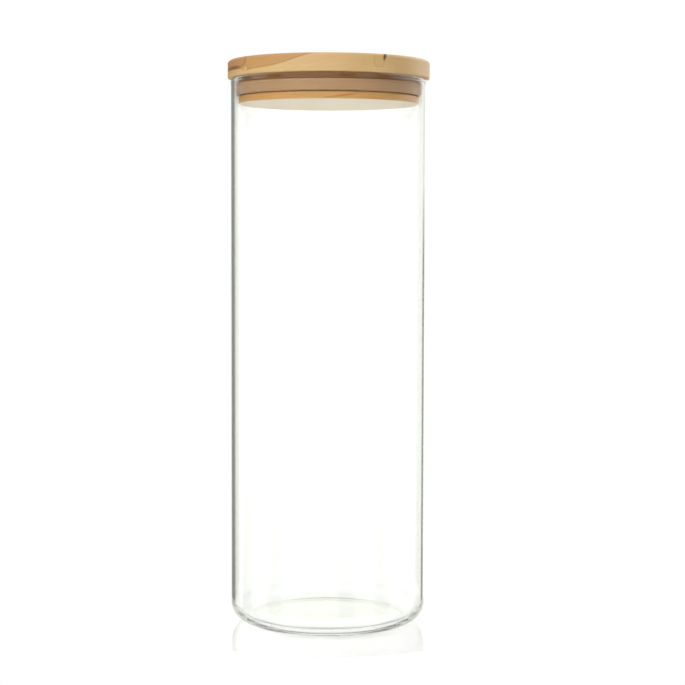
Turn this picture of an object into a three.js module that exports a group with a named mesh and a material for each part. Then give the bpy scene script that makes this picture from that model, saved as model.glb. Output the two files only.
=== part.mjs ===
// A tall glass storage canister with a turned wooden lid.
// Millimetres, +Z up; the origin is the middle of the base, on the surface the jar stands on.
// Three pieces: the one-piece glass jar, the one-piece wooden lid, and the silicone ring in its groove.

import * as THREE from 'three';

// Jar: a straight borosilicate cylinder with a rounded heel and a fire-polished rim.
const JAR_RADIUS = 50;
const JAR_WALL = 1.5;
const JAR_HEIGHT = 278.3;
const HEEL_RADIUS = 10;
const BASE_THICKNESS = 2.4;
const FOOT_WIDTH = 1.6; // flat ring that touches the table
const PUNT_RISE = 1.2; // the middle of the base is pushed up by this much
const PUNT_RADIUS = 26;
const BEAD_RADIUS = 0.9; // rounded rim, standing a little proud of the wall outside
const BEAD_BLEND = 1.8; // height over which the bead runs back into the wall

// Lid: a disc that rests on the rim, and a plug under it with a groove for the ring.
const RIM_GAP = 0.3;
const LID_RADIUS = 51.5;
const LID_THICKNESS = 9;
const LID_TOP_ROUND = 1.6;
const LID_EDGE_ROUND = 0.6;
const PLUG_RADIUS = 46;
const PLUG_DEPTH = 12.9;
const PLUG_NECK = 2.8; // wood between the disc and the groove
const PLUG_EDGE_ROUND = 0.5;
const GROOVE_HEIGHT = 6.4;
const GROOVE_DEPTH = 2.8;

// Seal: a translucent silicone ring, widest near its top and tapering in towards the plug's end.
const SEAL_GAP = 0.3; // all round inside the groove
const SEAL_CLEARANCE = 0.2; // to the glass; the real ring is squeezed against it
const SEAL_TAPER = 0.9;
const SEAL_LOWER_ROUND = 1.1;
const SEAL_UPPER_ROUND = 0.3;
const SEAL_STRAIGHT = 1.2; // height of the band that meets the glass

const SEGMENTS = 72;
const ARC_STEPS = 6;

const innerRadius = JAR_RADIUS - JAR_WALL;
const footOuter = JAR_RADIUS - HEEL_RADIUS;
const footInner = footOuter - FOOT_WIDTH;
const lidBottom = JAR_HEIGHT + RIM_GAP;
const plugBottom = lidBottom - PLUG_DEPTH;
const grooveTop = lidBottom - PLUG_NECK;
const grooveBottom = grooveTop - GROOVE_HEIGHT;

// Points on a circular arc in the (radius, height) plane, both ends included; angles in degrees.
function arc(centreRadius, centreHeight, radius, fromAngle, toAngle, steps = ARC_STEPS) {
  return Array.from({ length: steps + 1 }, (_, i) => {
    const angle = THREE.MathUtils.degToRad(fromAngle + ((toAngle - fromAngle) * i) / steps);
    return [centreRadius + radius * Math.cos(angle), centreHeight + radius * Math.sin(angle)];
  });
}

// Turns a (radius, height) profile about the Z axis into a named solid.
// The profile runs anticlockwise: out along the bottom, up the outside, back along the top.
function turned(name, profile, look) {
  const points = profile.map(([radius, height]) => new THREE.Vector2(radius, height));
  const geometry = new THREE.LatheGeometry(points, SEGMENTS);
  geometry.rotateX(Math.PI / 2);
  const mesh = new THREE.Mesh(geometry, new THREE.MeshStandardMaterial(look));
  mesh.name = name;
  return mesh;
}

// The jar is one wall: the profile goes round its outside, over the rim, and back along its inside.
function glassJar() {
  const innerHeel = HEEL_RADIUS - JAR_WALL;
  const floorHeight = BASE_THICKNESS;
  const beadCentre = innerRadius + BEAD_RADIUS;
  const beadHeight = JAR_HEIGHT - BEAD_RADIUS;
  const profile = [
    [0, PUNT_RISE],
    [PUNT_RADIUS, PUNT_RISE],
    [footInner, 0],
    ...arc(footOuter, HEEL_RADIUS, HEEL_RADIUS, -90, 0, 8),
    [JAR_RADIUS, beadHeight - BEAD_BLEND],
    ...arc(beadCentre, beadHeight, BEAD_RADIUS, 0, 180, 8),
    ...arc(innerRadius - innerHeel, floorHeight + innerHeel, innerHeel, 0, -90, 8),
    [PUNT_RADIUS, floorHeight + PUNT_RISE],
    [0, floorHeight + PUNT_RISE],
  ];
  return turned('glass_jar', profile, {
    color: 0xe6efe9,
    roughness: 0.04,
    metalness: 0,
    transparent: true,
    opacity: 0.35,
  });
}

// The lid is turned from one board: disc, neck, groove and lower land are one solid.
function woodenLid() {
  const lidTop = lidBottom + LID_THICKNESS;
  const grooveRadius = PLUG_RADIUS - GROOVE_DEPTH;
  const profile = [
    [0, plugBottom],
    ...arc(PLUG_RADIUS - PLUG_EDGE_ROUND, plugBottom + PLUG_EDGE_ROUND, PLUG_EDGE_ROUND, -90, 0, 3),
    ...arc(PLUG_RADIUS - PLUG_EDGE_ROUND, grooveBottom - PLUG_EDGE_ROUND, PLUG_EDGE_ROUND, 0, 90, 3),
    [grooveRadius, grooveBottom],
    [grooveRadius, grooveTop],
    [PLUG_RADIUS, grooveTop],
    [PLUG_RADIUS, lidBottom],
    ...arc(LID_RADIUS - LID_EDGE_ROUND, lidBottom + LID_EDGE_ROUND, LID_EDGE_ROUND, -90, 0, 3),
    ...arc(LID_RADIUS - LID_TOP_ROUND, lidTop - LID_TOP_ROUND, LID_TOP_ROUND, 0, 90, 4),
    [0, lidTop],
  ];
  return turned('wooden_lid', profile, { color: 0xdcb985, roughness: 0.6, metalness: 0 });
}

// The ring sits in the groove; its outer face leans in downwards, so it wedges into the mouth.
function sealRing() {
  const inside = PLUG_RADIUS - GROOVE_DEPTH + SEAL_GAP;
  const outside = innerRadius - SEAL_CLEARANCE;
  const bottom = grooveBottom + SEAL_GAP;
  const top = grooveTop - SEAL_GAP;
  const lowerCorner = outside - SEAL_TAPER - SEAL_LOWER_ROUND;
  const profile = [
    [inside, bottom],
    ...arc(lowerCorner, bottom + SEAL_LOWER_ROUND, SEAL_LOWER_ROUND, -90, 0, 4),
    [outside, top - SEAL_UPPER_ROUND - SEAL_STRAIGHT],
    ...arc(outside - SEAL_UPPER_ROUND, top - SEAL_UPPER_ROUND, SEAL_UPPER_ROUND, 0, 90, 2),
    [inside, top],
    [inside, bottom],
  ];
  return turned('seal_ring', profile, { color: 0xd9d3c7, roughness: 0.45, metalness: 0 });
}

const canister = new THREE.Group();
canister.name = 'lidded_canister';
canister.add(glassJar(), woodenLid(), sealRing());

export default canister;
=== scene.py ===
import math

import bpy
import numpy as np
from mathutils import Matrix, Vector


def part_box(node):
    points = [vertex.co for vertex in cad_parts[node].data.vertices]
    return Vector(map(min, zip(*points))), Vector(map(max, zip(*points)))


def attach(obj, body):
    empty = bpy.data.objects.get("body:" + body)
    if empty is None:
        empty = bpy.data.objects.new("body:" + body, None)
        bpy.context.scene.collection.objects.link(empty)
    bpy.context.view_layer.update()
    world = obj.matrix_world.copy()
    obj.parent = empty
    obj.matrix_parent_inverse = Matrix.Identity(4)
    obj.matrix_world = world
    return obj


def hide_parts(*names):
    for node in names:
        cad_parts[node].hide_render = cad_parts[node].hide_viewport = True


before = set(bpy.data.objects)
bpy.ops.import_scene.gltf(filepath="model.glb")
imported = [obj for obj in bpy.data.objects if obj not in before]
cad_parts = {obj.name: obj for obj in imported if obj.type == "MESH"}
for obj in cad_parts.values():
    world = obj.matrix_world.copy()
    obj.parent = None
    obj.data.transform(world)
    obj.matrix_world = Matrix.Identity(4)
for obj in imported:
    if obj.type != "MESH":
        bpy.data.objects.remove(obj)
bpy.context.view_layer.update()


# The jar: one piece of borosilicate glass, a drawn tube closed at the bottom while it was soft.
# Its mouth is fire-polished into a small round bead, and it stands on a narrow flat ring
# inside its rounded heel, around a base that is pushed up a little in the middle.

MM = 0.001
jar_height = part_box("glass_jar")[1].z
jar_radius = 50 * MM
jar_wall = 1.5 * MM
jar_inside = jar_radius - jar_wall
heel_radius = 10 * MM
foot_width = 1.6 * MM
foot_outer = jar_radius - heel_radius
foot_inner = foot_outer - foot_width
floor_thickness = 2.4 * MM
punt_rise = 1.2 * MM
punt_radius = 24 * MM
bead_radius = 0.82 * MM
bead_blend = 1.5 * MM


def arc(centre_r, centre_z, radius, start, end, steps):
    """Circle in the (r, z) plane: the centre plus radius times (cos, sin) of evenly spaced angles."""
    angle = np.radians(np.linspace(start, end, steps + 1))
    return np.column_stack([centre_r + radius * np.cos(angle), centre_z + radius * np.sin(angle)])


def straight(start, end, steps=1, hold=0.15 * MM):
    """Points on the line from start to end, with one more a short hold inside each end."""
    start, end = np.array(start, float), np.array(end, float)
    length = np.linalg.norm(end - start)
    inner = np.linspace(hold / length, 1 - hold / length, steps + 1)
    share = np.concatenate([[0.0], inner, [1.0]])[:, None]
    return start + share * (end - start)


def turned(name, profile, sections, closed=False):
    """Surface of revolution: profile point (r, z) at angle a is (r cos a, r sin a, z).

    The profile runs anticlockwise in the (r, z) plane, so faces point outwards. An open profile
    starts and ends on the axis, and each of those two ends is one pole vertex with a fan of faces.
    """
    profile = np.asarray(profile, float)
    keep = np.concatenate([[True], np.linalg.norm(np.diff(profile, axis=0), axis=1) > 1e-7])
    profile = profile[keep]
    rings = profile if closed else profile[1:-1]
    angle = np.linspace(0, 2 * math.pi, sections, endpoint=False)
    radius, height = rings[:, 0][:, None], rings[:, 1][:, None]
    grid = np.stack([radius * np.cos(angle), radius * np.sin(angle), height + 0 * angle], axis=-1)
    points = grid.reshape(-1, 3)

    index = np.arange(len(points)).reshape(len(rings), sections)
    here, above = (index, np.roll(index, -1, axis=0)) if closed else (index[:-1], index[1:])
    faces = np.stack([here, np.roll(here, -1, 1), np.roll(above, -1, 1), above], axis=-1)
    faces = faces.reshape(-1, 4).tolist()
    if not closed:
        low, high = len(points), len(points) + 1
        poles = [[0, 0, profile[0, 1]], [0, 0, profile[-1, 1]]]
        points = np.concatenate([points, poles])
        first, last = index[0], index[-1]
        faces += np.column_stack([np.full(sections, low), np.roll(first, -1), first]).tolist()
        faces += np.column_stack([last, np.roll(last, -1), np.full(sections, high)]).tolist()

    mesh = bpy.data.meshes.new(name)
    mesh.from_pydata(points, [], faces)
    mesh.shade_smooth()
    piece = bpy.data.objects.new(name, mesh)
    bpy.context.scene.collection.objects.link(piece)
    return piece


def punt(radius):
    """Height of the base's middle: flat out to the punt, then a half cosine down to the foot."""
    share = np.clip((foot_inner - radius) / (foot_inner - punt_radius), 0, 1)
    return punt_rise * (0.5 - 0.5 * np.cos(math.pi * share))


def jar_profile():
    """Round the wall: out under the base, up the outside, over the bead, and back down the inside.

    The wall swells out to the bead by a half cosine. The inside of the base follows the punt,
    with a dimple and a faint ring in it: each is its depth times exp(-(distance / width) squared).
    """
    bead_r, bead_z = jar_inside + bead_radius, jar_height - bead_radius
    share = np.linspace(0, 1, 9)
    swell = (0.5 - 0.5 * np.cos(math.pi * share)) * (bead_r + bead_radius - jar_radius)
    shoulder = np.column_stack([jar_radius + swell, bead_z - bead_blend * (1 - share)])

    inner_heel = heel_radius - jar_wall
    floor_out = jar_inside - inner_heel
    under = np.linspace(0, foot_inner, 26)
    across = np.linspace(floor_out, 0, 40)[1:]
    dimple_depth, dimple_width = 0.12 * MM, 7 * MM
    dimple = dimple_depth * np.exp(-((across / dimple_width) ** 2))
    ring_height, ring_radius, ring_width = 0.04 * MM, 27 * MM, 1.6 * MM
    ring = ring_height * np.exp(-(((across - ring_radius) / ring_width) ** 2))
    return np.concatenate([
        np.column_stack([under, punt(under)]),
        straight((foot_inner, 0), (foot_outer, 0)),
        arc(foot_outer, heel_radius, heel_radius, -90, 0, 20),
        straight((jar_radius, heel_radius), (jar_radius, bead_z - bead_blend), 12),
        shoulder,
        arc(bead_r, bead_z, bead_radius, 0, 180, 18),
        straight((jar_inside, bead_z), (jar_inside, floor_thickness + inner_heel), 12),
        arc(floor_out, floor_thickness + inner_heel, inner_heel, 0, -90, 18),
        np.column_stack([across, floor_thickness + punt(across) + ring - dimple]),
    ])


def linear(colour):
    """An sRGB hex colour as linear red, green, blue and alpha."""
    parts = [int(colour[i:i + 2], 16) / 255 for i in (1, 3, 5)]
    return [c / 12.92 if c <= 0.04045 else ((c + 0.055) / 1.055) ** 2.4 for c in parts] + [1.0]


def add(tree, kind, inputs=None, **settings):
    """Adds one node: settings are its properties, inputs its values or the sockets linked to it.

    Where a node has several inputs of one name, they go by number. In a Mix, 0 is the share of
    the second; 6 and 7 are the first and second colour, and 2 and 3 the first and second value.
    """
    node = tree.nodes.new(kind)
    for name, value in settings.items():
        setattr(node, name, value)
    for name, value in (inputs or {}).items():
        if isinstance(value, bpy.types.NodeSocket):
            tree.links.new(value, node.inputs[name])
        else:
            node.inputs[name].default_value = value
    return node


def new_material(name):
    """An empty node material and the output node that its shader goes to."""
    material = bpy.data.materials.new(name)
    material.use_nodes = True
    material.node_tree.nodes.clear()
    return material, material.node_tree, material.node_tree.nodes.new("ShaderNodeOutputMaterial")


# Borosilicate glass, drawn and fire-polished: perfectly smooth and almost colourless. Looking
# along the wall, the eye sees through far more glass, and a trace of grey-green shows there.
glass, tree, output = new_material("borosilicate_glass_fire_polished")
along_wall = add(tree, "ShaderNodeMapRange", {
    "Value": add(tree, "ShaderNodeLayerWeight", {"Blend": 0.5}).outputs["Facing"],
    "From Min": 0.55,
    "From Max": 0.95,
}, interpolation_type="SMOOTHSTEP").outputs[0]
tint = add(tree, "ShaderNodeMix", {
    0: along_wall, 6: linear("#fdfefc"), 7: linear("#c4cab0"),
}, data_type="RGBA").outputs[2]
shader = add(tree, "ShaderNodeBsdfPrincipled", {
    "Base Color": tint,
    "Roughness": 0.0,
    "IOR": 1.47,
    "Transmission Weight": 1.0,
})
tree.links.new(shader.outputs["BSDF"], output.inputs["Surface"])
depth_tint = add(tree, "ShaderNodeVolumeAbsorption", {"Color": (0.7, 0.86, 0.45, 1), "Density": 5.0})
tree.links.new(depth_tint.outputs[0], output.inputs["Volume"])

jar = turned("jar", jar_profile(), 384)
jar.data.materials.append(glass)
# Clear glass hardly shades what is behind it.
jar.visible_shadow = False
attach(jar, "jar")
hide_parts("glass_jar")


# The lid: turned from one pine board, a disc with softened edges over a plug that drops into
# the mouth. A groove cut round the plug holds the seal. The wood is sanded and left bare.

disc_thickness = 9 * MM
neck_length = 2.8 * MM
groove_depth = 2.8 * MM
groove_height = 6.4 * MM
plug_radius = 46 * MM
plug_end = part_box("wooden_lid")[0].z
lid_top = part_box("wooden_lid")[1].z
lid_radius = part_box("wooden_lid")[1].x
lid_under = lid_top - disc_thickness
groove_radius = plug_radius - groove_depth
groove_top = lid_under - neck_length
groove_bottom = groove_top - groove_height


def lid_profile():
    """Out under the plug, up past the groove, out under the disc, round its edges, in over the top.

    Every edge is a quarter circle: large on the disc, small on the plug, a nick in the corners.
    """
    top_round, edge_round, plug_round, nick = 1.6 * MM, 0.6 * MM, 0.5 * MM, 0.12 * MM
    return np.concatenate([
        straight((0, plug_end), (plug_radius - plug_round, plug_end), 10),
        arc(plug_radius - plug_round, plug_end + plug_round, plug_round, -90, 0, 6),
        straight((plug_radius, plug_end + plug_round), (plug_radius, groove_bottom - plug_round)),
        arc(plug_radius - plug_round, groove_bottom - plug_round, plug_round, 0, 90, 6),
        straight((plug_radius - plug_round, groove_bottom), (groove_radius + nick, groove_bottom)),
        arc(groove_radius + nick, groove_bottom + nick, nick, -90, -180, 3),
        straight((groove_radius, groove_bottom + nick), (groove_radius, groove_top - nick)),
        arc(groove_radius + nick, groove_top - nick, nick, 180, 90, 3),
        straight((groove_radius + nick, groove_top), (plug_radius - nick, groove_top)),
        arc(plug_radius - nick, groove_top + nick, nick, -90, 0, 3),
        straight((plug_radius, groove_top + nick), (plug_radius, lid_under - nick)),
        arc(plug_radius + nick, lid_under - nick, nick, 180, 90, 3),
        straight((plug_radius + nick, lid_under), (lid_radius - edge_round, lid_under)),
        arc(lid_radius - edge_round, lid_under + edge_round, edge_round, -90, 0, 6),
        straight((lid_radius, lid_under + edge_round), (lid_radius, lid_top - top_round), 3),
        arc(lid_radius - top_round, lid_top - top_round, top_round, 0, 90, 10),
        straight((lid_radius - top_round, lid_top), (0, lid_top), 12),
    ])


# Pine, flat-sawn from near the heart, turned and sanded, and left bare. The eye sees pale yellow
# sapwood with faint growth rings, a tongue of orange heartwood from one side with a darker edge,
# one large knot at that side, and a few pin knots. Lengths here are millimetres, with height zero
# at the disc's underside and the grain running along X.
pine, tree, output = new_material("pine_turned_and_sanded")
coordinates = add(tree, "ShaderNodeTexCoord").outputs
wood = add(tree, "ShaderNodeMapping", {
    "Vector": coordinates["Object"],
    "Location": (0, 0, -lid_under / MM),
    "Scale": (1 / MM, 1 / MM, 1 / MM),
}).outputs[0]
along, across, height = add(tree, "ShaderNodeSeparateXYZ", {"Vector": wood}).outputs

# Depth in the log: each growth ring is one depth. The rings arch over the board, and they climb
# 9 mm over a bulge whose front is U-shaped, so the flat top shows them as nested tongues.
tongue_middle, tongue_width, tongue_sweep = -12, 38, 12.0
bulge_height, arch_fall, wander_height = 9.0, 0.0012, 1.6
bend = add(tree, "ShaderNodeMath", {
    0: across, 1: 1 / tongue_width, 2: -tongue_middle / tongue_width,
}, operation="MULTIPLY_ADD").outputs[0]
bend = add(tree, "ShaderNodeMath", {0: bend, 1: 2.0}, operation="POWER").outputs[0]
front = add(tree, "ShaderNodeMath", {
    0: bend, 1: tongue_sweep, 2: along,
}, operation="MULTIPLY_ADD").outputs[0]
climb = add(tree, "ShaderNodeMapRange", {
    "Value": front, "From Min": -22.7, "From Max": 28.0, "To Max": -bulge_height,
}, interpolation_type="SMOOTHSTEP").outputs[0]
square = add(tree, "ShaderNodeMath", {0: across, 1: across}, operation="MULTIPLY").outputs[0]
arch = add(tree, "ShaderNodeMath", {
    0: square, 1: -arch_fall, 2: height,
}, operation="MULTIPLY_ADD").outputs[0]
wander = add(tree, "ShaderNodeTexNoise", {
    "Vector": add(tree, "ShaderNodeMapping", {"Vector": wood, "Scale": (0.5, 1, 1)}).outputs[0],
    "Scale": 0.05,
    "Detail": 2.0,
}).outputs["Fac"]
arch = add(tree, "ShaderNodeMath", {
    0: wander, 1: wander_height, 2: arch,
}, operation="MULTIPLY_ADD").outputs[0]
depth = add(tree, "ShaderNodeMath", {0: arch, 1: climb}, operation="ADD").outputs[0]

# Growth rings 1.3 mm apart: each darkens slowly and ends sharply, as late wood does. Some years
# are stronger than others.
ring_spacing = 1.3
season = add(tree, "ShaderNodeMath", {0: depth, 1: ring_spacing}, operation="DIVIDE").outputs[0]
season = add(tree, "ShaderNodeMath", {0: season}, operation="FRACT").outputs[0]
darkening = add(tree, "ShaderNodeMapRange", {
    "Value": season, "From Min": 0.3, "From Max": 0.88,
}, interpolation_type="SMOOTHSTEP").outputs[0]
ending = add(tree, "ShaderNodeMapRange", {
    "Value": season, "From Min": 0.88, "From Max": 1.0, "To Min": 1.0, "To Max": 0.0,
}).outputs[0]
late = add(tree, "ShaderNodeMath", {0: darkening, 1: ending}, operation="MULTIPLY").outputs[0]
years = add(tree, "ShaderNodeTexNoise", {
    "Vector": add(tree, "ShaderNodeCombineXYZ", {"Z": depth}).outputs[0],
    "Scale": 0.55,
    "Detail": 1.0,
}).outputs["Fac"]
years = add(tree, "ShaderNodeMapRange", {"Value": years, "From Min": 0.35, "From Max": 0.65}).outputs[0]
late = add(tree, "ShaderNodeMath", {0: late, 1: years}, operation="MULTIPLY").outputs[0]

# Fibres: streaks along the grain, about half a millimetre thick and 15 to 30 mm long. They tint
# the sapwood, over slower patches of a deeper yellow a few centimetres long.
fibres = add(tree, "ShaderNodeTexNoise", {
    "Vector": add(tree, "ShaderNodeMapping", {"Vector": wood, "Scale": (0.03, 0.8, 1)}).outputs[0],
    "Scale": 1.4,
    "Detail": 4.0,
    "Roughness": 0.62,
}).outputs["Fac"]
patches = add(tree, "ShaderNodeTexNoise", {
    "Vector": add(tree, "ShaderNodeMapping", {"Vector": wood, "Scale": (0.4, 1, 1)}).outputs[0],
    "Scale": 0.07,
    "Detail": 2.0,
}).outputs["Fac"]
sapwood = add(tree, "ShaderNodeMix", {
    0: add(tree, "ShaderNodeMapRange", {"Value": fibres, "From Min": 0.3, "From Max": 0.7}).outputs[0],
    6: linear("#e6c68f"),
    7: linear("#dfba80"),
}, data_type="RGBA").outputs[2]
sapwood = add(tree, "ShaderNodeMix", {
    0: add(tree, "ShaderNodeMapRange", {"Value": patches, "From Min": 0.35, "From Max": 0.7}).outputs[0],
    6: sapwood,
    7: linear("#dcb67e"),
}, data_type="RGBA").outputs[2]
ringed = add(tree, "ShaderNodeMix", {
    0: add(tree, "ShaderNodeMath", {0: late, 1: 0.35}, operation="MULTIPLY").outputs[0],
    6: sapwood,
    7: linear("#cf9f5e"),
}, data_type="RGBA").outputs[2]

# Heartwood: everything deeper than one ring, stained orange by resin, with a darker edge.
heart_edge = 1.75
heart = add(tree, "ShaderNodeMapRange", {
    "Value": depth, "From Min": 1.35, "From Max": 1.9,
}, interpolation_type="SMOOTHSTEP").outputs[0]
stained = add(tree, "ShaderNodeMix", {
    0: heart, 6: ringed, 7: linear("#e9d5c0"),
}, data_type="RGBA", blend_type="MULTIPLY").outputs[2]
from_edge = add(tree, "ShaderNodeMath", {0: depth, 1: -heart_edge}, operation="ADD").outputs[0]
from_edge = add(tree, "ShaderNodeMath", {0: from_edge}, operation="ABSOLUTE").outputs[0]
edge_line = add(tree, "ShaderNodeMapRange", {
    "Value": from_edge, "From Min": 0.05, "From Max": 0.6, "To Min": 0.55, "To Max": 0.0,
}, interpolation_type="SMOOTHSTEP").outputs[0]
colour = add(tree, "ShaderNodeMix", {
    0: edge_line, 6: stained, 7: linear("#b98048"),
}, data_type="RGBA").outputs[2]

# Knots and marks, each a rounded block whose outline the fibres make ragged: centre, half sizes,
# turn about Z and lean about Y in degrees; where its colour begins and is full, as shares of the
# half sizes; colour; and the most that the colour covers.
raggedness = 0.16
marks = [
    # Sapwood under the large knot, the knot's thin edge, the greyer wood inside it, and the brown
    # resin along its lower edge.
    ((-50, -14, 0), (10, 30, 3.0), 0, 0, 1.1, 0.92, "#dfbd85", 0.9),
    ((-48.4, -17.6, 7.0), (20, 15.4, 3.6), 20, 0, 1.05, 0.97, "#9a6530", 0.5),
    ((-48.4, -17.6, 7.0), (20, 15.4, 3.6), 20, 0, 1.0, 0.8, "#cf9d69", 0.6),
    ((-48.4, -17.6, 4.0), (20, 11.4, 1.1), 20, 10, 1.2, 0.5, "#84501f", 0.85),
    # A sliver of sapwood caught beside it.
    ((-41.1, -31.0, 2.7), (1.0, 1.0, 0.9), 0, 0, 1.2, 0.3, "#f0d5a6", 0.7),
    # The pin knot on the rim, and the grain that swerves round it.
    ((24.6, -47.3, 5.4), (2.8, 5.0, 3.0), 0, 0, 1.12, 1.0, "#b98a50", 0.25),
    ((24.8, -47.3, 5.4), (2.6, 5.0, 2.8), 0, 0, 1.0, 0.8, "#dfbb82", 0.6),
    ((27.4, -43.7, 8.2), (0.75, 4.0, 2.6), 0, 10, 1.3, 0.5, "#5c3510", 0.9),
    # A small brown knot in the groove, behind the seal, and a resin streak near the plug's end.
    ((10.9, -42.5, -6.8), (1.3, 4.0, 1.1), 0, 0, 1.2, 0.5, "#3c200b", 1.0),
    ((4.5, -44.0, -11.6), (9.5, 3.0, 0.5), 0, -8, 1.3, 0.4, "#b87a3c", 0.7),
]
for centre, sizes, turn, lean, begins, full, shade, most in marks:
    inside = add(tree, "ShaderNodeMapping", {
        "Vector": wood,
        "Location": centre,
        "Rotation": (0, math.radians(lean), math.radians(turn)),
        "Scale": sizes,
    }, vector_type="TEXTURE").outputs[0]
    # Distance from the centre, 1 at the surface: the cube root of the sum of cubes.
    inside = add(tree, "ShaderNodeVectorMath", {0: inside}, operation="ABSOLUTE").outputs[0]
    squares = add(tree, "ShaderNodeVectorMath", {0: inside, 1: inside}, operation="MULTIPLY").outputs[0]
    cubes = add(tree, "ShaderNodeVectorMath", {
        0: inside, 1: squares,
    }, operation="DOT_PRODUCT").outputs["Value"]
    reach = add(tree, "ShaderNodeMath", {0: cubes, 1: 1 / 3}, operation="POWER").outputs[0]
    ragged = add(tree, "ShaderNodeMath", {
        0: fibres, 1: raggedness, 2: reach,
    }, operation="MULTIPLY_ADD").outputs[0]
    cover = add(tree, "ShaderNodeMapRange", {
        "Value": ragged,
        "From Min": begins + raggedness / 2,
        "From Max": full + raggedness / 2,
        "To Max": most,
    }, interpolation_type="SMOOTHSTEP").outputs[0]
    colour = add(tree, "ShaderNodeMix", {
        0: cover, 6: colour, 7: linear(shade),
    }, data_type="RGBA").outputs[2]

# The neck, between the disc and the groove, is painted darker: painted shade, as under the disc's
# overhang.
from_axis = add(tree, "ShaderNodeVectorMath", {0: wood, 1: (1, 1, 0)}, operation="MULTIPLY").outputs[0]
from_axis = add(tree, "ShaderNodeVectorMath", {0: from_axis}, operation="LENGTH").outputs["Value"]
under_disc = add(tree, "ShaderNodeMapRange", {
    "Value": from_axis, "From Min": 47.5, "From Max": 46.5,
}).outputs[0]
over_groove = add(tree, "ShaderNodeMapRange", {
    "Value": height, "From Min": -3.0, "From Max": -2.7,
}).outputs[0]
up_to_disc = add(tree, "ShaderNodeMapRange", {
    "Value": height, "From Min": 0.3, "From Max": 0.1,
}).outputs[0]
neck_shade = add(tree, "ShaderNodeMath", {0: over_groove, 1: up_to_disc}, operation="MULTIPLY").outputs[0]
neck_shade = add(tree, "ShaderNodeMath", {0: neck_shade, 1: under_disc}, operation="MULTIPLY").outputs[0]
colour = add(tree, "ShaderNodeMix", {
    0: neck_shade, 6: colour, 7: linear("#b5923c"),
}, data_type="RGBA", blend_type="MULTIPLY").outputs[2]

# The plug's side below the seal is multiplied darker and deeper yellow: painted shade inside the glass.
# Its end is painted paler: a painted sheen, standing in for the white floor that it mirrors.
under_groove = add(tree, "ShaderNodeMapRange", {
    "Value": height, "From Min": -9.0, "From Max": -9.4,
}).outputs[0]
over_end = add(tree, "ShaderNodeMapRange", {
    "Value": height, "From Min": -12.9, "From Max": -12.6,
}).outputs[0]
plug_side_shade = add(tree, "ShaderNodeMath", {0: under_groove, 1: over_end}, operation="MULTIPLY").outputs[0]
colour = add(tree, "ShaderNodeMix", {
    0: plug_side_shade, 6: colour, 7: linear("#ebd5b3"),
}, data_type="RGBA", blend_type="MULTIPLY").outputs[2]
end_face = add(tree, "ShaderNodeMapRange", {
    "Value": height, "From Min": -12.6, "From Max": -12.85,
}).outputs[0]
colour = add(tree, "ShaderNodeMix", {
    0: add(tree, "ShaderNodeMath", {0: end_face, 1: 0.5}, operation="MULTIPLY").outputs[0],
    6: colour,
    7: linear("#f8ead4"),
}, data_type="RGBA").outputs[2]

# End grain, on the two sides that face along X, is darker and pinker: partly grime, partly painted
# shade.
across_grain = add(tree, "ShaderNodeSeparateXYZ", {"Vector": coordinates["Normal"]}).outputs["X"]
across_grain = add(tree, "ShaderNodeMath", {0: across_grain}, operation="ABSOLUTE").outputs[0]
end_grain_and_side_shade = add(tree, "ShaderNodeMapRange", {
    "Value": across_grain, "From Min": 0.8, "From Max": 1.0, "To Max": 0.6,
}, interpolation_type="SMOOTHSTEP").outputs[0]
colour = add(tree, "ShaderNodeMix", {
    0: end_grain_and_side_shade, 6: colour, 7: linear("#efdcbf"),
}, data_type="RGBA", blend_type="MULTIPLY").outputs[2]

# Sanded wood is matt, with fibres a few hundredths proud. The plug's end was faced off with a
# sharp tool and not sanded, so it has more of a sheen.
fibre_height = 0.03 * MM
bump = add(tree, "ShaderNodeBump", {"Height": fibres, "Strength": 0.5, "Distance": fibre_height})
polish = add(tree, "ShaderNodeMapRange", {
    "Value": fibres, "From Min": 0.3, "From Max": 0.7, "To Min": 0.62, "To Max": 0.52,
}).outputs[0]
polish = add(tree, "ShaderNodeMath", {
    0: end_face, 1: -0.26, 2: polish,
}, operation="MULTIPLY_ADD").outputs[0]
shader = add(tree, "ShaderNodeBsdfPrincipled", {
    "Base Color": colour,
    "Roughness": polish,
    "IOR": 1.45,
    "Normal": bump.outputs[0],
})
tree.links.new(shader.outputs["BSDF"], output.inputs["Surface"])

lid = turned("lid", lid_profile(), 256)
lid.data.materials.append(pine)
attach(lid, "lid")
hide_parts("wooden_lid")


# The seal: one moulded ring of translucent silicone, stretched into the plug's groove. Its outer
# face leans in towards the plug's end, so that it wedges against the glass.

seal_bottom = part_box("seal_ring")[0].z
seal_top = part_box("seal_ring")[1].z
glass_gap = 0.05 * MM
seal_outside = jar_inside - glass_gap


def seal_profile():
    """A band: flat inside and at its ends, the outer face straight at the top and tapering below."""
    groove_gap, land = 0.15 * MM, 1.2 * MM
    taper, lower_round, upper_round, small = 0.9 * MM, 1.1 * MM, 0.3 * MM, 0.1 * MM
    inside = groove_radius + groove_gap
    corner = seal_outside - taper - lower_round
    lean_top = seal_top - upper_round - land
    return np.concatenate([
        straight((inside + small, seal_bottom), (corner, seal_bottom)),
        arc(corner, seal_bottom + lower_round, lower_round, -90, 0, 8),
        straight((seal_outside - taper, seal_bottom + lower_round), (seal_outside, lean_top), 3),
        straight((seal_outside, lean_top), (seal_outside, seal_top - upper_round)),
        arc(seal_outside - upper_round, seal_top - upper_round, upper_round, 0, 90, 4),
        straight((seal_outside - upper_round, seal_top), (inside + small, seal_top)),
        arc(inside + small, seal_top - small, small, 90, 180, 3),
        straight((inside, seal_top - small), (inside, seal_bottom + small)),
        arc(inside + small, seal_bottom + small, small, 180, 270, 3)[:-1],
    ])


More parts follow.
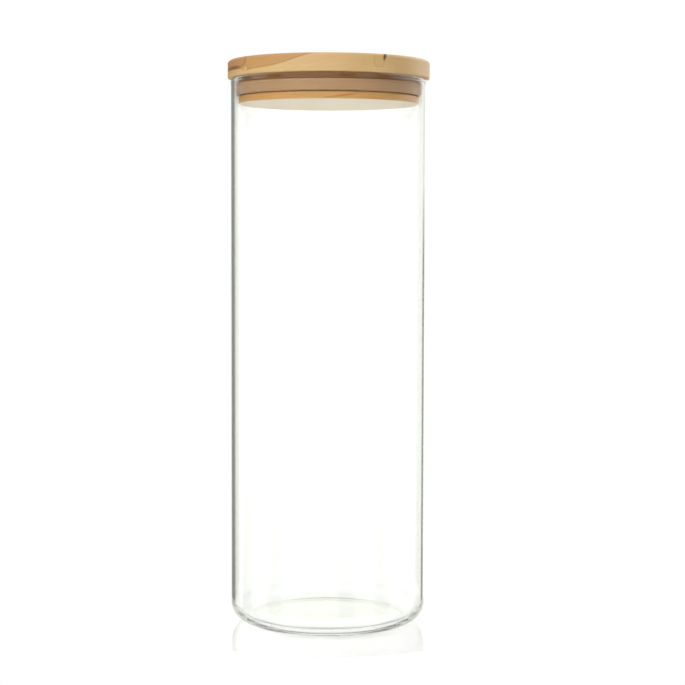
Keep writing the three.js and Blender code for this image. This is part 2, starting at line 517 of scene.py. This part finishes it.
# Silicone rubber, moulded and left unpigmented: milky, so the wood behind it shows as a soft warm
# brown, with a satin face from the mould.
silicone, tree, output = new_material("milky_silicone_moulded")
flow = add(tree, "ShaderNodeTexNoise", {
    "Vector": add(tree, "ShaderNodeTexCoord").outputs["Object"],
    "Scale": 90.0,
    "Detail": 3.0,
}).outputs["Fac"]
milk = add(tree, "ShaderNodeMix", {
    0: flow, 6: linear("#d6ae83"), 7: linear("#cda478"),
}, data_type="RGBA").outputs[2]
satin = add(tree, "ShaderNodeMapRange", {"Value": flow, "To Min": 0.2, "To Max": 0.3}).outputs[0]
shader = add(tree, "ShaderNodeBsdfPrincipled", {
    "Base Color": milk,
    "Roughness": satin,
    "IOR": 1.41,
    "Transmission Weight": 0.45,
})
tree.links.new(shader.outputs["BSDF"], output.inputs["Surface"])

seal = turned("seal", seal_profile(), 256, closed=True)
seal.data.materials.append(silicone)
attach(seal, "seal")
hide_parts("seal_ring")


# The table: a round sheet of white acrylic that the jar stands on. It is kept small, so that the
# jar's wall doesn't mirror it, and it isn't seen through the glass, which shows the white tent.

table_radius = 85 * MM
table_turn = np.linspace(0, 2 * math.pi, 96, endpoint=False)
table_edge = table_radius * np.column_stack([np.cos(table_turn), np.sin(table_turn), 0 * table_turn])
table_mesh = bpy.data.meshes.new("table")
table_mesh.from_pydata(table_edge, [], [list(range(len(table_edge)))])
table = bpy.data.objects.new("table", table_mesh)
bpy.context.scene.collection.objects.link(table)

# Acrylic, cast and polished: white, with enough gloss to mirror the foot of the jar faintly.
acrylic, tree, output = new_material("white_acrylic_sheet")
shader = add(tree, "ShaderNodeBsdfPrincipled", {
    "Base Color": linear("#f6f6f5"),
    "Roughness": 0.08,
    "IOR": 1.49,
})
tree.links.new(shader.outputs["BSDF"], output.inputs["Surface"])
table_mesh.materials.append(acrylic)
table.visible_transmission = False


# The light: a white tent all round, as for glassware. Narrow dark flags stand beside each
# direction that a camera looks along, and the glass bends them into thin lines along its edges.

world = bpy.data.worlds.new("white_tent")
bpy.context.scene.world = world
world.use_nodes = True
tree = world.node_tree
tree.nodes.clear()
output = tree.nodes.new("ShaderNodeOutputWorld")
direction = add(tree, "ShaderNodeTexCoord").outputs["Generated"]
level = add(tree, "ShaderNodeVectorMath", {0: direction, 1: (1, 1, 0)}, operation="MULTIPLY")
level = add(tree, "ShaderNodeVectorMath", {0: level.outputs[0]}, operation="NORMALIZE").outputs[0]
rise = add(tree, "ShaderNodeSeparateXYZ", {"Vector": direction}).outputs["Z"]
path = add(tree, "ShaderNodeLightPath").outputs

# Flags: middle azimuth, half width where full and where gone, all in degrees; the rise at its
# foot, the rise up to which it is full and that above which it is gone; and how dark it is. A
# rise is the height of a direction of length 1: 0 is level and 1 straight up.
foot_fade = 0.045
flags = [
    (64.5, 2.5, 6.5, -0.255, -0.03, 0.065, 0.9),
    (64.5, 2.5, 6.5, -0.26, 0.222, 0.238, 0.35),
    (113, 9, 15, -0.255, 0.222, 0.238, 0.85),
    (158, 6, 13, -0.36, 0.2, 0.3, 0.85),
    (203, 6, 13, -0.36, 0.2, 0.3, 0.85),
    (292, 6, 13, -0.36, 0, 0.1, 0.85),
    (338, 6, 13, -0.36, 0, 0.1, 0.85),
]
dark = None
for azimuth, full_width, gone_width, foot, full_rise, gone_rise, darkness in flags:
    middle = (math.cos(math.radians(azimuth)), math.sin(math.radians(azimuth)), 0)
    towards = add(tree, "ShaderNodeVectorMath", {0: level, 1: middle}, operation="DOT_PRODUCT")
    beside = add(tree, "ShaderNodeMapRange", {
        "Value": towards.outputs["Value"],
        "From Min": math.cos(math.radians(gone_width)),
        "From Max": math.cos(math.radians(full_width)),
    }, interpolation_type="SMOOTHSTEP").outputs[0]
    below = add(tree, "ShaderNodeMapRange", {
        "Value": rise, "From Min": gone_rise, "From Max": full_rise, "To Max": darkness,
    }, interpolation_type="SMOOTHSTEP").outputs[0]
    standing = add(tree, "ShaderNodeMapRange", {
        "Value": rise, "From Min": foot, "From Max": foot + foot_fade,
    }, interpolation_type="SMOOTHSTEP").outputs[0]
    flag = add(tree, "ShaderNodeMath", {0: beside, 1: below}, operation="MULTIPLY").outputs[0]
    flag = add(tree, "ShaderNodeMath", {0: flag, 1: standing}, operation="MULTIPLY").outputs[0]
    dark = flag if dark is None else add(
        tree, "ShaderNodeMath", {0: dark, 1: flag}, operation="MAXIMUM").outputs[0]

# A grey band on the floor behind the jar, steeply below, draws the line round its heel.
band = add(tree, "ShaderNodeMapRange", {
    "Value": rise, "From Min": -0.42, "From Max": -0.48, "To Max": 0.8,
}, interpolation_type="SMOOTHSTEP").outputs[0]
inner = add(tree, "ShaderNodeMapRange", {
    "Value": rise, "From Min": -0.64, "From Max": -0.56,
}, interpolation_type="SMOOTHSTEP").outputs[0]
band = add(tree, "ShaderNodeMath", {0: band, 1: inner}, operation="MULTIPLY").outputs[0]
behind = add(tree, "ShaderNodeVectorMath", {0: level, 1: (0, 1, 0)}, operation="DOT_PRODUCT")
behind = behind.outputs["Value"]
rear = add(tree, "ShaderNodeMapRange", {
    "Value": behind, "From Min": 0.9, "From Max": 0.94,
}, interpolation_type="SMOOTHSTEP").outputs[0]
band = add(tree, "ShaderNodeMath", {0: band, 1: rear}, operation="MULTIPLY").outputs[0]
dark = add(tree, "ShaderNodeMath", {0: dark, 1: band}, operation="MAXIMUM").outputs[0]

# The tent's opening, a little above level and all round except at the back, wider towards its
# top. Only mirrored rays meet it, so the glass puts almost no haze over the wood and the seal.
opening = None
back_fade = 0.08
for back_edge, lowest, highest in [(0.6, 0.045, 0.066), (0.77, 0.064, 0.072)]:
    ahead = add(tree, "ShaderNodeMapRange", {
        "Value": behind, "From Min": back_edge + back_fade, "From Max": back_edge - back_fade,
    }, interpolation_type="SMOOTHSTEP").outputs[0]
    above = add(tree, "ShaderNodeMapRange", {
        "Value": rise, "From Min": lowest, "From Max": highest,
    }, interpolation_type="SMOOTHSTEP").outputs[0]
    ahead = add(tree, "ShaderNodeMath", {0: ahead, 1: above}, operation="MULTIPLY").outputs[0]
    opening = ahead if opening is None else add(
        tree, "ShaderNodeMath", {0: opening, 1: ahead}, operation="MAXIMUM").outputs[0]
under = add(tree, "ShaderNodeMapRange", {"Value": rise, "From Min": 0.25, "From Max": 0.2}).outputs[0]
opening = add(tree, "ShaderNodeMath", {0: opening, 1: under}, operation="MULTIPLY").outputs[0]

# Towards -X the upper part of the opening stays closed: from the other side, a level view meets
# that part mirrored in the table, which has to stay white.
off_side = add(tree, "ShaderNodeVectorMath", {0: level, 1: (-1, 0, 0)}, operation="DOT_PRODUCT")
off_side = add(tree, "ShaderNodeMapRange", {
    "Value": off_side.outputs["Value"], "From Min": 0.96, "From Max": 0.93,
}).outputs[0]
lower = add(tree, "ShaderNodeMapRange", {"Value": rise, "From Min": 0.155, "From Max": 0.125}).outputs[0]
left_open = add(tree, "ShaderNodeMath", {0: off_side, 1: lower}, operation="MAXIMUM").outputs[0]
opening = add(tree, "ShaderNodeMath", {0: opening, 1: left_open}, operation="MULTIPLY").outputs[0]
bounced = add(tree, "ShaderNodeMath", {
    0: path["Glossy Depth"], 1: 0.5,
}, operation="GREATER_THAN").outputs[0]
opening = add(tree, "ShaderNodeMath", {0: opening, 1: bounced}, operation="MULTIPLY").outputs[0]
dark = add(tree, "ShaderNodeMath", {0: dark, 1: opening}, operation="MAXIMUM").outputs[0]

# The tent's cloth is a little brighter from just below level upwards than steeply below, and what
# is dark in it still gives about an eighth of plain white.
tent = add(tree, "ShaderNodeMapRange", {
    "Value": rise, "From Min": -0.12, "From Max": -0.36, "To Min": 1.22, "To Max": 0.99,
}).outputs[0]
darkest = 0.12
seen = add(tree, "ShaderNodeMix", {0: dark, 2: tent, 3: darkest}, data_type="FLOAT").outputs[0]

# What lights the wood and the table: an even glow, more from above and from the pale floor below,
# with a large soft source in front, a little to the left, and a smaller one behind on the right.
glow = add(tree, "ShaderNodeMapRange", {
    "Value": rise, "From Min": 0.5, "From Max": 1.0, "To Min": 0.02, "To Max": 1.2,
}, interpolation_type="SMOOTHSTEP").outputs[0]
bounce = add(tree, "ShaderNodeMapRange", {
    "Value": rise, "From Min": -0.1, "From Max": -0.8, "To Max": 0.95,
}, interpolation_type="SMOOTHSTEP").outputs[0]
glow = add(tree, "ShaderNodeMath", {0: glow, 1: bounce}, operation="ADD").outputs[0]
# Each source: the direction of its middle, the cosine of its half width, and its brightness.
sources = [((-0.37, -0.87, 0.33), 0.75, 3.0), ((0.66, 0.7, 0.28), 0.85, 5.5)]
for middle, edge, power in sources:
    towards = add(tree, "ShaderNodeVectorMath", {0: direction, 1: middle}, operation="DOT_PRODUCT")
    lobe = add(tree, "ShaderNodeMapRange", {
        "Value": towards.outputs["Value"], "From Min": edge, "From Max": 1.0, "To Max": power,
    }, interpolation_type="SMOOTHSTEP").outputs[0]
    glow = add(tree, "ShaderNodeMath", {0: glow, 1: lobe}, operation="ADD").outputs[0]

# Rays straight from the camera see plain white. Rays that have only been bent or mirrored see the
# tent and its flags, and all others carry the glow.
mirrored = add(tree, "ShaderNodeMath", {
    0: path["Is Glossy Ray"], 1: path["Is Transmission Ray"],
}, operation="MAXIMUM").outputs[0]
unscattered = add(tree, "ShaderNodeMath", {
    0: path["Diffuse Depth"], 1: 0.5,
}, operation="LESS_THAN").outputs[0]
mirrored = add(tree, "ShaderNodeMath", {0: mirrored, 1: unscattered}, operation="MULTIPLY").outputs[0]
light = add(tree, "ShaderNodeMix", {0: mirrored, 2: glow, 3: seen}, data_type="FLOAT").outputs[0]
light = add(tree, "ShaderNodeMix", {
    0: path["Is Camera Ray"], 2: light, 3: 1.0,
}, data_type="FLOAT").outputs[0]
backdrop = add(tree, "ShaderNodeBackground", {"Color": (1, 1, 1, 1), "Strength": light})
tree.links.new(backdrop.outputs[0], output.inputs["Surface"])

bpy.context.scene.view_settings.view_transform = "Standard"
# Light runs many times to and fro inside the thick glass of the base before it gets out.
bpy.context.scene.cycles.max_bounces = 32
bpy.context.scene.cycles.transmission_bounces = 32
bpy.context.scene.cycles.glossy_bounces = 24


# The camera: a long lens at about seven tenths of the canister's height, looking slightly down,
# with the small turn and tilt of a camera held by hand.

lens = bpy.data.cameras.new("camera")
lens.sensor_width = 36
lens.lens = 93.9
camera = bpy.data.objects.new("camera", lens)
bpy.context.scene.collection.objects.link(camera)
distance, eye_height = 0.9198, 0.2033
pitch, yaw, roll = math.radians(3.692), math.radians(0.4586), math.radians(0.139)
camera.matrix_world = (
    Matrix.Translation((0, -distance, eye_height))
    @ Matrix.Rotation(-yaw, 4, "Z")
    @ Matrix.Rotation(math.pi / 2 - pitch, 4, "X")
    @ Matrix.Rotation(roll, 4, "Z")
)
bpy.context.scene.camera = camera

bpy.context.view_layer.update()
